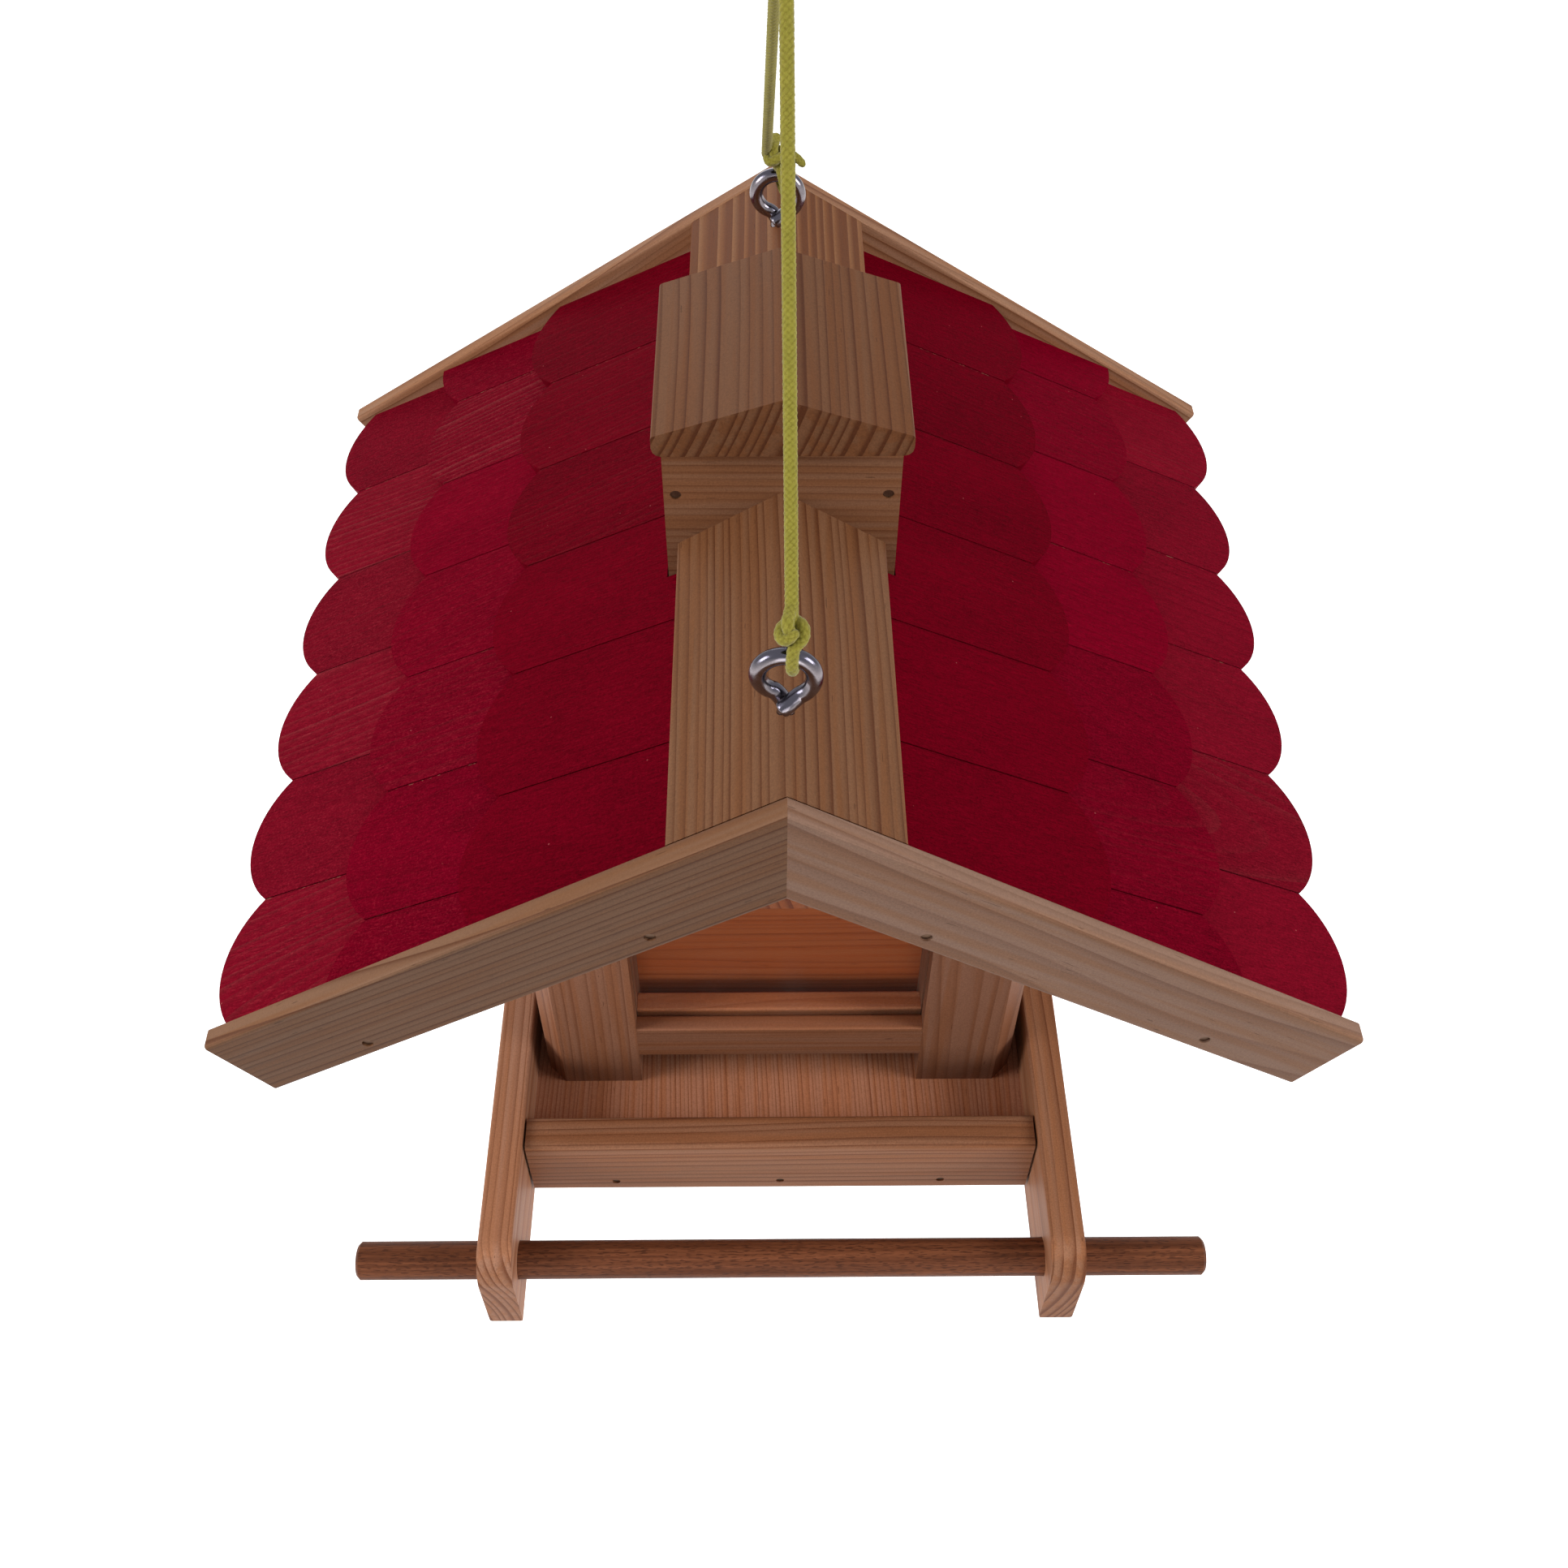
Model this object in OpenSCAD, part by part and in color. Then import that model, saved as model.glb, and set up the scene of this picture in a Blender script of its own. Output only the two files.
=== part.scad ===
// Hanging bird feeder: a little wooden house with a shingled saddle roof, a seed silo
// that is filled through its chimney, and a feeding tray with a perch at the front and back.
// The origin is the seat of the hanging loop, where a hook or a branch carries the feeder.
// +Z is up, the ridge runs along Y, the front is towards -Y and the right side towards +X.

/* [Roof] */
// Pitch of each roof slope in degrees
roof_pitch = 32.5; // [31:0.5:34]
// Length of the roof from gable face to gable face
roof_len = 206; // [200:1:230]
// Height of the gables' apex above the side rails
roof_rise = 188.8; // [180:0.2:200]
// Length of each bargeboard down the slope
rake_len = 139.4; // [136:0.2:160]
// Width of the bargeboards
rake_w = 20.3; // [19.5:0.1:23]
// Thickness of the bargeboards
rake_t = 4.8; // [4:0.1:6]
// Thickness of the roof boards under the shingles
deck_t = 6.4; // [5:0.1:7]
// Length of the roof boards down the slope
deck_len = 136; // [128:0.5:142]
// Width of the tilting strip under the eave shingles
strip_w = 8; // [6:0.5:12]
// Width of the ridge beam under the roof boards
beam_w = 14; // [10:0.5:18]
// Height of the ridge beam at its middle
beam_h = 10; // [8:0.5:12]
// Width of the ridge cap across the roof
cap_w = 42.8; // [38:0.2:46]

/* [Shingles] */
// Thickness of the shingles
shingle_t = 4.2; // [3.6:0.1:4.6]
// Width of the shingles along the eave
shingle_w = 33.2; // [28:0.2:40]
// Length of the shingles down the slope
shingle_len = 64; // [60:0.5:64.5]
// Length of each course that stays in sight
exposure = 32.6; // [30:0.2:33.6]
// Distance of the eave tips from the apex, down the slope
eave_tip = 140.8; // [139:0.2:146]
// Radius of the shingles' round ends
tip_r = 22.3; // [20.5:0.1:30]
// Part of a shingle's width that starts the eave and top courses
full_start = 0.93; // [0.8:0.01:1]
// Part of a shingle's width that starts the middle course
half_start = 0.4; // [0.3:0.01:0.6]
// Gap between neighbouring shingles
shingle_gap = 0.3; // [0.2:0.05:0.6]

/* [Chimney] */
// Width of the chimney across the roof
stack_x = 47.4; // [42:0.2:52]
// Length of the chimney along the ridge
stack_y = 40.8; // [36:0.2:46]
// Thickness of the chimney's boards
stack_t = 4.8; // [4:0.1:6]
// Height of the chimney above the gables' apex
stack_rise = 12.5; // [8:0.5:20]
// Width of the lid across the roof
lid_x = 50.4; // [48:0.2:60]
// Length of the lid along the ridge
lid_y = 50; // [46:0.5:60]
// Height of the lid at its two long edges
lid_edge = 4.7; // [4:0.1:8]
// Height of the lid at its crest
lid_crest = 13.3; // [11:0.1:18]
// Depth of the locating plug under the lid
plug_depth = 6; // [4:0.5:10]
// Clearance of the plug on each side
plug_fit = 0.5; // [0.3:0.1:1]

/* [Tray] */
// Width of the tray floor between the side rails
floor_x = 140; // [130:1:150]
// Length of the tray floor from rim to rim
floor_y = 115; // [108:1:120]
// Thickness of the tray floor
floor_t = 9; // [7:0.5:9.5]
// Depth of the floor's top below the side rails
floor_drop = 18.4; // [16:0.2:20]
// Thickness of the side rails
rail_t = 9; // [8:0.5:12]
// Height of the side rails
rail_h = 32.5; // [31:0.5:36]
// Radius of the side rails' upper end corners
rail_nose = 10; // [6:0.5:12]
// Thickness of the tray's front and back rims
rim_t = 9.5; // [8:0.5:12]
// Depth of the rims' top below the side rails
rim_drop = 2.2; // [1:0.2:6]
// Gap between a rim's end and the side rail
rim_gap = 0.6; // [0.3:0.1:1]
// Diameter of the perch dowels
perch_d = 10; // [8:0.5:12]
// Length of the perch dowels
perch_len = 226; // [200:1:250]
// Distance of the perches from the middle of the feeder
perch_y = 92.6; // [86:0.2:94]
// Clearance around the perches in the side rails
perch_fit = 0.1; // [0.05:0.05:0.3]

/* [Silo] */
// Width of the silo between its two side blocks
silo_x = 79.4; // [74:0.2:84]
// Thickness of the side blocks
block_x = 27; // [24:0.5:28]
// Length of the side blocks from front to back
block_y = 75.4; // [72:0.2:80]
// Chamfer on the side blocks' outer corners
block_chamfer = 5; // [3:0.5:7]
// Height of the feed gap above the floor
feed_gap = 14.6; // [11:0.2:16]
// Height of the crossbars
bar_h = 13.7; // [10:0.1:20]
// Thickness of the outer crossbars
bar_t = 4.8; // [4:0.1:6]
// Thickness of the inner crossbars
inner_bar_t = 6; // [5:0.1:8]
// Thickness of the clear panes
pane_t = 1.5; // [1:0.1:2]
// Depth of the pane grooves in the side blocks
groove_depth = 3; // [2:0.5:4]
// Height of the panes
pane_h = 138; // [100:1:140]
// Clearance around the panes
pane_fit = 0.1; // [0.05:0.05:0.3]

/* [Eye screws] */
// Distance of the front eye screw from the middle of the feeder
front_eye_y = 78; // [70:0.2:86]
// Distance of the back eye screw from the middle of the feeder
back_eye_y = 76.5; // [70:0.2:86]
// Outer diameter of the rings
ring_d = 13.1; // [12:0.1:16]
// Diameter of the wire
wire_d = 3.2; // [2.8:0.1:3.6]
// Length of the bare shank between the front ring and the ridge cap
front_stem = 1.5; // [1:0.5:6]
// Length of the bare shank between the back ring and the ridge cap
back_stem = 0.5; // [0.5:0.5:6]
// Length of the screws in the wood
screw_len = 28; // [26:0.5:30]

/* [Cord] */
// Diameter of the braided cord
cord_d = 2.5; // [2:0.1:2.6]
// Height of the knot under the hanging loop above the gables' apex
top_knot_rise = 126; // [100:1:200]

/* [Hidden] */

// Sides of the round pins, of the shingles' round ends and of the eye screws
pin_fn = 48;
tip_fn = 64;
ring_fn = 32;
// Steps of each eased corner
ease_steps = 3;
// Radius of the boards' eased edges, and of the lid's softer ones
ease = 0.8;
soft_ease = 2;
// Overshoot of the cutting shapes
over = 1;

// Cord route: one side of the hanging loop as [y, z] from its lower end to its crown
loop_side = [[-8, -40.7], [-4.4, -35.6], [-2.2, -32], [-1.6, -28.5], [-2.6, -24], [-5.4, -17.5],
    [-7.6, -11.5], [-8, -7], [-6.6, -2.4], [-3.6, 0.4]];
// Height of the top knot's middle in the route
top_knot_z = -30;
// Rings along each straight strand
strand_rings = 20;
cord_sides = 8;
// Turns of the eye knots about their rings, in degrees
front_knot_turn = 5;
back_knot_turn = -14;
// Distance of the eye knots' middle from the centre of the ring
knot_reach = 10.6;
// Slack of the cord around the wire of the ring
knot_slack = 0.2;

// Nails: shank, head and how far the head is sunk
nail_d = 1.6;
nail_head_d = 2.2;
nail_head_t = 0.8;
nail_sink = 0.5;
nail_fit = 0.05;
nail_fn = 16;
rim_nail_len = 22;
rim_nail_x = [-46, 0, 45];
gable_nail_len = 20;
// Nails along the left and the right bargeboards, from the apex
gable_nail_s = [[40.3, 110.3], [41.3, 111.3]];
chimney_nail_len = 12;
chimney_nail_drop = 1;
rail_nail_len = 22;
rail_nail_y = [-42, 0, 42];
floor_nail_len = 22;
floor_nail_y = [-22, 22];

// Height of the hanging loop's seat above the side rails
hang_h = roof_rise + top_knot_rise - top_knot_z;
// Inner faces of the bargeboards
gable_in = roof_len / 2 - rake_t;
// Rest angle of the shingles to the roof boards, as each one lies on the course below it
lay = asin(shingle_t / exposure);
// Depth of the shingles' tips below the plane of the bargeboards' top edges
tip_depth = 1;
// Depth of the roof boards' top and underside below the same plane
deck_top = tip_depth + shingle_len * sin(lay) + shingle_t * cos(lay);
deck_under = deck_top + deck_t;
// Heights over the side rails, at the middle of the roof
deck_top_z = roof_rise - deck_top / cos(roof_pitch);
deck_under_z = roof_rise - deck_under / cos(roof_pitch);
// Depth of the ridge cap's crease below the apex
cap_drop = 0.3;
cap_z = roof_rise - cap_drop;
// Where the plane of the top course would meet the middle of the roof
top_tip = eave_tip - 2 * exposure;
bed_z = roof_rise - (top_tip * sin(roof_pitch) + tip_depth * cos(roof_pitch))
    + (top_tip * cos(roof_pitch) - tip_depth * sin(roof_pitch)) * tan(roof_pitch - lay);
bed_fall = tan(roof_pitch - lay);
roof_fall = tan(roof_pitch);
stack_top = roof_rise + stack_rise;
plug_x = stack_x - 2 * stack_t - 2 * plug_fit;
plug_y = stack_y - 2 * stack_t - 2 * plug_fit;
stack_clear = 0.3;
floor_z = -floor_drop;
rail_x = floor_x / 2;
perch_z = -rail_h / 2;
bar_z = floor_z + feed_gap;
bar_out = block_y / 2;
bar_in = bar_out - bar_t;
slot = pane_t + 2 * pane_fit;
inner_bar_out = bar_in - slot;
// Small relief at the chute boards' lower corners
relief_x = 1.2;
relief_z = 3;
// Middle of each eye ring
ring_r = ring_d / 2 - wire_d / 2;
front_eye_z = cap_z + front_stem + ring_d / 2;
back_eye_z = cap_z + back_stem + ring_d / 2;

function unit(v) = v / norm(v);

// Arc that takes the place of corner b between its neighbours a and c
function corner(a, b, c, r) =
    let (u = unit(a - b), v = unit(c - b), half = acos(u * v) / 2)
    let (middle = b + unit(u + v) * r / sin(half), from = b + u * r / tan(half) - middle)
    let (turn = (u.x * v.y - u.y * v.x > 0 ? -1 : 1) * (180 - 2 * half))
    [for (k = [0:ease_steps]) let (t = turn * k / ease_steps)
        middle + [from.x * cos(t) - from.y * sin(t), from.x * sin(t) + from.y * cos(t)]];

// Outline with rounded corners, from a list of [x, y, radius]
function eased(p) =
    let (n = len(p))
    [for (i = [0:n - 1]) let (b = [p[i].x, p[i].y], a = p[(i + n - 1) % n], c = p[(i + 1) % n])
        each (p[i].z == 0 ? [b] : corner([a.x, a.y], b, [c.x, c.y], p[i].z))];

// Eased rectangle, from its lower left corner to its upper right one
function eased_box(x0, y0, x1, y1, r) =
    eased([[x0, y0, r], [x1, y0, r], [x1, y1, r], [x0, y1, r]]);

// Lowers a shape drawn over the top of the side rails to its place under the hanging loop
module hung() {
    translate([0, 0, -hang_h]) children();
}

// Runs an outline drawn in X and Z along Y
module along_y(y0, y1) {
    translate([0, y1, 0]) rotate([90, 0, 0]) linear_extrude(y1 - y0) children();
}

// Runs an outline drawn in Y and Z along X
module along_x(x0, x1) {
    translate([x0, 0, 0]) rotate([90, 0, 90]) linear_extrude(x1 - x0) children();
}

// Turns a shape drawn down the slope, with +Z away from the roof, onto one side of the roof
module on_slope(side) {
    mirror([side < 0 ? 1 : 0, 0, 0]) translate([0, 0, roof_rise]) rotate([0, roof_pitch, 0]) children();
}

// Places a shape drawn for the front at the front or the back
module at_end(end) {
    mirror([0, end < 0 ? 0 : 1, 0]) children();
}

// One nail, head up at the surface it was driven into; grow widens it into its hole
module nail(length, grow) {
    translate([0, 0, -length]) cylinder(d = nail_d + 2 * grow, h = length - nail_sink, $fn = nail_fn);
    head_h = nail_head_t + (grow > 0 ? nail_sink + over : 0);
    translate([0, 0, -nail_sink - nail_head_t])
        cylinder(d = nail_head_d + 2 * grow, h = head_h, $fn = nail_fn);
}

module rim_nail_set(grow) {
    for (end = [-1, 1], x = rim_nail_x) at_end(end)
        translate([x, -floor_y / 2 - rim_t, floor_z - floor_t / 2]) rotate([90, 0, 0])
            nail(rim_nail_len, grow);
}

module gable_nail_set(grow) {
    for (end = [-1, 1], side = [-1, 1], s = gable_nail_s[side < 0 ? 0 : 1]) at_end(end) on_slope(side)
        translate([s, -roof_len / 2, -deck_top - deck_t / 2]) rotate([90, 0, 0])
            nail(gable_nail_len, grow);
}

module chimney_nail_set(grow) {
    for (end = [-1, 1], side = [-1, 1]) at_end(end)
        translate([side * (stack_x - stack_t) / 2, -stack_y / 2, roof_rise - chimney_nail_drop])
            rotate([90, 0, 0]) nail(chimney_nail_len, grow);
}

module rail_nail_set(grow) {
    for (side = [-1, 1], y = rail_nail_y)
        translate([side * (rail_x + rail_t), y, floor_z - floor_t / 2]) rotate([0, side * 90, 0])
            nail(rail_nail_len, grow);
}

module floor_nail_set(grow) {
    for (side = [-1, 1], y = floor_nail_y)
        translate([side * (silo_x + block_x) / 2, y, floor_z - floor_t]) rotate([180, 0, 0])
            nail(floor_nail_len, grow);
}

// Holes of both eye screws through the ridge
module screw_holes() {
    for (y = [-front_eye_y, back_eye_y])
        translate([0, y, cap_z - screw_len - nail_fit])
            cylinder(d = wire_d + 2 * nail_fit, h = screw_len + over, $fn = ring_fn);
}

module floor_board() {
    color("burlywood") hung() difference() {
        translate([-rail_x, -floor_y / 2, floor_z - floor_t]) cube([floor_x, floor_y, floor_t]);
        rim_nail_set(nail_fit);
        rail_nail_set(nail_fit);
        floor_nail_set(nail_fit);
    }
}

// Side rail on edge, with a round nose at both ends and a hole for each perch
module side_rail(side) {
    y = roof_len / 2;
    x = rail_x + rail_t / 2;
    color("burlywood") hung() difference() {
        intersection() {
            along_x(side * x - rail_t / 2, side * x + rail_t / 2) difference() {
                translate([-y, -rail_h]) square([2 * y, rail_h]);
                for (end = [-1, 1]) translate([end * (y - rail_nose), -rail_nose]) difference() {
                    translate([end > 0 ? 0 : -rail_nose - over, 0]) square(rail_nose + over);
                    circle(rail_nose, $fn = pin_fn);
                }
            }
            along_y(-y, y) polygon(eased_box(side * x - rail_t / 2, -rail_h,
                side * x + rail_t / 2, 0, ease));
        }
        for (end = [-1, 1]) translate([side * x - rail_t, end * perch_y, perch_z]) rotate([0, 90, 0])
            cylinder(d = perch_d + 2 * perch_fit, h = 2 * rail_t, $fn = pin_fn);
        rail_nail_set(nail_fit);
    }
}

module rim(end) {
    half = rail_x - rim_gap;
    color("burlywood") hung() difference() {
        at_end(end) along_x(-half, half)
            polygon(eased([[-floor_y / 2 - rim_t, floor_z - floor_t, ease], [-floor_y / 2, floor_z - floor_t, 0],
                [-floor_y / 2, -rim_drop, 2 * ease], [-floor_y / 2 - rim_t, -rim_drop, 2 * ease]]));
        rim_nail_set(nail_fit);
    }
}

// Beech dowel with chamfered ends
module perch(end) {
    bevel = 0.8;
    color("sienna") hung() translate([0, end * perch_y, perch_z]) rotate([0, 90, 0]) {
        translate([0, 0, -perch_len / 2 + bevel]) cylinder(d = perch_d, h = perch_len - 2 * bevel, $fn = pin_fn);
        for (tip = [-1, 1]) mirror([0, 0, tip < 0 ? 1 : 0]) translate([0, 0, perch_len / 2 - bevel])
            cylinder(d1 = perch_d, d2 = perch_d - 2 * bevel, h = bevel, $fn = pin_fn);
    }
}

// Room under the roof boards, for the pieces whose tops are cut to the roof
module under_roof() {
    reach = rail_x + over;
    along_y(-roof_len / 2, roof_len / 2) polygon([[-reach, floor_z], [reach, floor_z],
        [reach, deck_under_z - reach * roof_fall], [0, deck_under_z], [-reach, deck_under_z - reach * roof_fall]]);
}

// Solid side block of the silo, grooved for both panes
module side_block(side) {
    x0 = silo_x / 2;
    x1 = x0 + block_x;
    y = block_y / 2;
    c = block_chamfer;
    color("burlywood") hung() difference() {
        intersection() {
            under_roof();
            mirror([side < 0 ? 1 : 0, 0, 0]) translate([0, 0, floor_z]) linear_extrude(roof_rise)
                polygon([[x0, -y], [x1 - c, -y], [x1, c - y], [x1, y - c], [x1 - c, y], [x0, y]]);
        }
        for (end = [-1, 1]) at_end(end)
            translate([side * x0 - groove_depth, -bar_in, bar_z]) cube([2 * groove_depth, slot, roof_rise]);
        floor_nail_set(nail_fit);
    }
}

module crossbar(end) {
    color("burlywood") hung() at_end(end) along_x(-silo_x / 2, silo_x / 2)
        polygon(eased([[-bar_out, bar_z, ease / 2], [-bar_in, bar_z, 0], [-bar_in, bar_z + bar_h, ease],
            [-bar_out, bar_z + bar_h, ease]]));
}

module inner_bar(end) {
    color("burlywood") hung() at_end(end) along_x(-silo_x / 2, silo_x / 2)
        polygon(eased([[-inner_bar_out, bar_z, 0], [-inner_bar_out + inner_bar_t, bar_z, ease],
            [-inner_bar_out + inner_bar_t, bar_z + bar_h, ease], [-inner_bar_out, bar_z + bar_h, ease]]));
}

// Clear pane that stands in the grooves, behind the crossbar
module pane(end) {
    half = silo_x / 2 + groove_depth - pane_fit;
    color("lightblue", 0.4) hung() at_end(end)
        translate([-half, -bar_in + pane_fit, bar_z]) cube([2 * half, pane_t, pane_h]);
}

// Board that carries the chimney's shaft down to the feed gap
module chute_board(end) {
    half = silo_x / 2;
    color("peru") hung() intersection() {
        under_roof();
        at_end(end) translate([0, -stack_y / 2, 0]) difference() {
            translate([-half, 0, bar_z]) cube([silo_x, stack_t, roof_rise]);
            for (side = [-1, 1]) translate([side * half - relief_x, -over, bar_z - over])
                cube([2 * relief_x, stack_t + 2 * over, relief_z + over]);
        }
    }
}

module ridge_beam(end) {
    half = beam_w / 2;
    low = deck_under_z - beam_h;
    side_z = deck_under_z - half * roof_fall;
    color("burlywood") hung() difference() {
        at_end(end) along_y(-gable_in, -stack_y / 2)
            polygon([[-half, low], [half, low], [half, side_z], [0, deck_under_z], [-half, side_z]]);
        screw_holes();
    }
}

// Roof board of one slope, with a plumb joint at the ridge and the chimney's opening
module roof_board(side) {
    color("burlywood") hung() difference() {
        on_slope(side) along_y(-gable_in, gable_in)
            polygon([[deck_top * roof_fall, -deck_top], [deck_len, -deck_top], [deck_len, -deck_under],
                [deck_under * roof_fall, -deck_under]]);
        translate([-stack_x / 2 + stack_t, -stack_y / 2 + stack_t, 0])
            cube([stack_x - 2 * stack_t, stack_y - 2 * stack_t, 2 * roof_rise]);
        gable_nail_set(nail_fit);
        screw_holes();
    }
}

// Depth of the eave course's underside at s down the slope
function eave_under(s) = tip_depth + (eave_tip - s) * tan(lay) + shingle_t / cos(lay);

// Wedge strip that props up the eave course
module eave_strip(side) {
    s0 = deck_len - strip_w;
    color("burlywood") hung() on_slope(side) along_y(-gable_in, gable_in)
        polygon([[s0, -deck_top], [deck_len, -deck_top], [deck_len, -eave_under(deck_len)],
            [s0, -eave_under(s0)]]);
}

// Bargeboard with a plumb joint at the apex and eased edges
module bargeboard(end, side) {
    color("wheat") hung() difference() {
        intersection() {
            on_slope(side) at_end(end) rotate([0, 90, 0]) linear_extrude(rake_len)
                polygon(eased_box(0, -roof_len / 2, rake_w, -gable_in, ease));
            on_slope(side) along_y(-roof_len / 2, roof_len / 2)
                polygon([[0, 0], [rake_len, 0], [rake_len, -rake_w], [rake_w * roof_fall, -rake_w]]);
        }
        gable_nail_set(nail_fit);
    }
}

// One shingle lying flat, its tip at the origin and its head towards -X, from y0 to y1
module shingle(y0, y1, middle) {
    translate([0, 0, -shingle_t]) linear_extrude(shingle_t) intersection() {
        translate([-shingle_len, y0]) square([shingle_len, y1 - y0]);
        translate([-tip_r, middle]) {
            circle(tip_r, $fn = tip_fn);
            translate([-shingle_len, -tip_r]) square([shingle_len, 2 * tip_r]);
        }
    }
}

// One course of shingles, whose first joint lies start shingle widths behind the front bargeboard
module course(side, tip, start) {
    count = ceil(2 * gable_in / shingle_w);
    on_slope(side) translate([tip, 0, -tip_depth]) rotate([0, -lay, 0])
        for (i = [0:count]) {
            back = -gable_in + (start + i) * shingle_w;
            y0 = max(back - shingle_w, -gable_in);
            y1 = min(back, gable_in);
            if (y1 - y0 > 2) shingle(y0 + (i == 0 ? 0 : shingle_gap), y1, back - shingle_w / 2);
        }
}

module shingles_eave(side) {
    color("crimson") hung() course(side, eave_tip, full_start);
}

module shingles_middle(side) {
    color("firebrick") hung() course(side, eave_tip - exposure, half_start);
}

// Top course, notched round the chimney
module shingles_top(side) {
    x = stack_x / 2 + stack_clear;
    y = stack_y / 2 + stack_clear;
    color("crimson") hung() difference() {
        course(side, top_tip, full_start);
        translate([-x, -y, 0]) cube([2 * x, 2 * y, 2 * roof_rise]);
    }
}

// Ridge cap, bedded on both top courses and planed to the bargeboards' slopes
module ridge_cap(end) {
    half = cap_w / 2;
    color("wheat") hung() difference() {
        at_end(end) along_y(-gable_in, -stack_y / 2)
            polygon(eased([[0, bed_z, 0], [half, bed_z - half * bed_fall, 0],
                [half, cap_z - half * roof_fall, ease], [0, cap_z, 0], [-half, cap_z - half * roof_fall, ease],
                [-half, bed_z - half * bed_fall, 0]]));
        screw_holes();
    }
}

// Room above the roof boards, for the chimney's boards
module over_roof() {
    reach = stack_x / 2 + over;
    along_y(-stack_y, stack_y) polygon([[0, deck_top_z], [reach, deck_top_z - reach * roof_fall],
        [reach, stack_top], [-reach, stack_top], [-reach, deck_top_z - reach * roof_fall]]);
}

// Front or back wall of the chimney, the full width of it
module chimney_end(end) {
    color("burlywood") hung() difference() {
        intersection() {
            over_roof();
            at_end(end) translate([-stack_x / 2, -stack_y / 2, 0]) cube([stack_x, stack_t, 2 * roof_rise]);
        }
        chimney_nail_set(nail_fit);
    }
}

// Side wall of the chimney, between the front and back walls
module chimney_side(side) {
    color("burlywood") hung() difference() {
        intersection() {
            over_roof();
            mirror([side < 0 ? 1 : 0, 0, 0]) translate([stack_x / 2 - stack_t, -stack_y / 2 + stack_t, 0])
                cube([stack_t, stack_y - 2 * stack_t, 2 * roof_rise]);
        }
        chimney_nail_set(nail_fit);
    }
}

// Solid lid with a gabled top, which lifts off for filling
module lid() {
    half = lid_x / 2;
    color("tan") hung() translate([0, 0, stack_top]) along_y(-lid_y / 2, lid_y / 2)
        polygon(eased([[-half, 0, soft_ease], [half, 0, soft_ease], [half, lid_edge, ease], [0, lid_crest, soft_ease],
            [-half, lid_edge, ease]]));
}

module lid_plug() {
    color("burlywood") hung() translate([-plug_x / 2, -plug_y / 2, stack_top - plug_depth])
        cube([plug_x, plug_y, plug_depth]);
}

// Eye screw: a ring of bent wire on a pointed shank
module eye_screw(y, z) {
    point = 3;
    ring_foot = z - ring_r;
    color("silver") hung() translate([0, y, 0]) {
        translate([0, 0, z]) rotate([90, 0, 0]) rotate_extrude($fn = 2 * ring_fn) translate([ring_r, 0])
            circle(d = wire_d, $fn = ring_fn);
        translate([0, 0, cap_z - screw_len + point])
            cylinder(d = wire_d, h = ring_foot - cap_z + screw_len - point, $fn = ring_fn);
        translate([0, 0, cap_z - screw_len]) cylinder(d1 = wire_d / 4, d2 = wire_d, h = point, $fn = ring_fn);
    }
}

// Middle of the knot that ties the cord to a ring
function knot_place(y, z, turn) = [knot_reach * sin(turn), y, z + knot_reach * cos(turn)];

// Knot on a ring: a bight of cord round the wire, drawn together by two wraps
module eye_knot(y, z, turn, tail) {
    bight_r = (wire_d + cord_d) / 2 + knot_slack;
    wrap_r = cord_d * 0.75;
    wrap_step = cord_d * 0.7;
    color("yellowgreen") hung() translate([0, y, z]) rotate([0, turn, 0]) {
        translate([0, 0, ring_r]) rotate([90, 0, 90]) rotate_extrude(angle = -180, $fn = ring_fn)
            translate([bight_r, 0]) circle(d = cord_d, $fn = pin_fn / 2);
        for (leg = [-1, 1]) translate([0, leg * bight_r, ring_r])
            cylinder(d = cord_d, h = knot_reach - ring_r, $fn = pin_fn / 2);
        translate([0, 0, knot_reach]) {
            for (k = [-1, 1]) translate([0, 0, k * wrap_step / 2]) scale([1, 1.45, 1])
                rotate_extrude($fn = ring_fn) translate([wrap_r, 0]) circle(d = cord_d, $fn = pin_fn / 2);
            translate([0, 0, -cord_d]) cylinder(d = 2 * wrap_r, h = 2 * cord_d, $fn = ring_fn);
        }
        translate([0, 0, knot_reach - wrap_step / 2]) rotate([0, 100, 0])
            cylinder(d1 = cord_d, d2 = cord_d / 2, h = tail, $fn = ring_fn);
    }
}

// Overhand knot of both strands together, under the hanging loop
module knot_top() {
    wrap_r = cord_d * 1.1;
    color("yellowgreen") translate([0, 0, top_knot_z]) {
        for (k = [-1, 0, 1]) translate([0, 0, k * cord_d * 0.9]) rotate([12 * k, 0, 0])
            rotate_extrude($fn = ring_fn) translate([wrap_r, 0]) circle(d = cord_d, $fn = pin_fn / 2);
        translate([0, 0, -cord_d]) cylinder(r = wrap_r, h = 2 * cord_d, $fn = ring_fn);
    }
}

// Rings of a straight strand, from a to just before b
function strand(a, b) = [for (k = [0:strand_rings - 1]) a + (b - a) * k / strand_rings];
function loop_point(p, back) = [0, back ? -p.x : p.x, p.y];
function backwards(p) = [for (i = [len(p) - 1:-1:0]) p[i]];

// Route of the cord: front knot, hanging loop, back knot
lift = [0, 0, -hang_h];
front_end = knot_place(-front_eye_y, front_eye_z, front_knot_turn) + lift;
back_end = knot_place(back_eye_y, back_eye_z, back_knot_turn) + lift;
crown = [0, 0, cord_d / 2];
route = concat(strand(front_end, loop_point(loop_side[0], false)),
    [for (p = loop_side) loop_point(p, false)], [crown],
    backwards([for (p = loop_side) loop_point(p, true)]),
    backwards(strand(back_end, loop_point(loop_side[0], true))));

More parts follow.
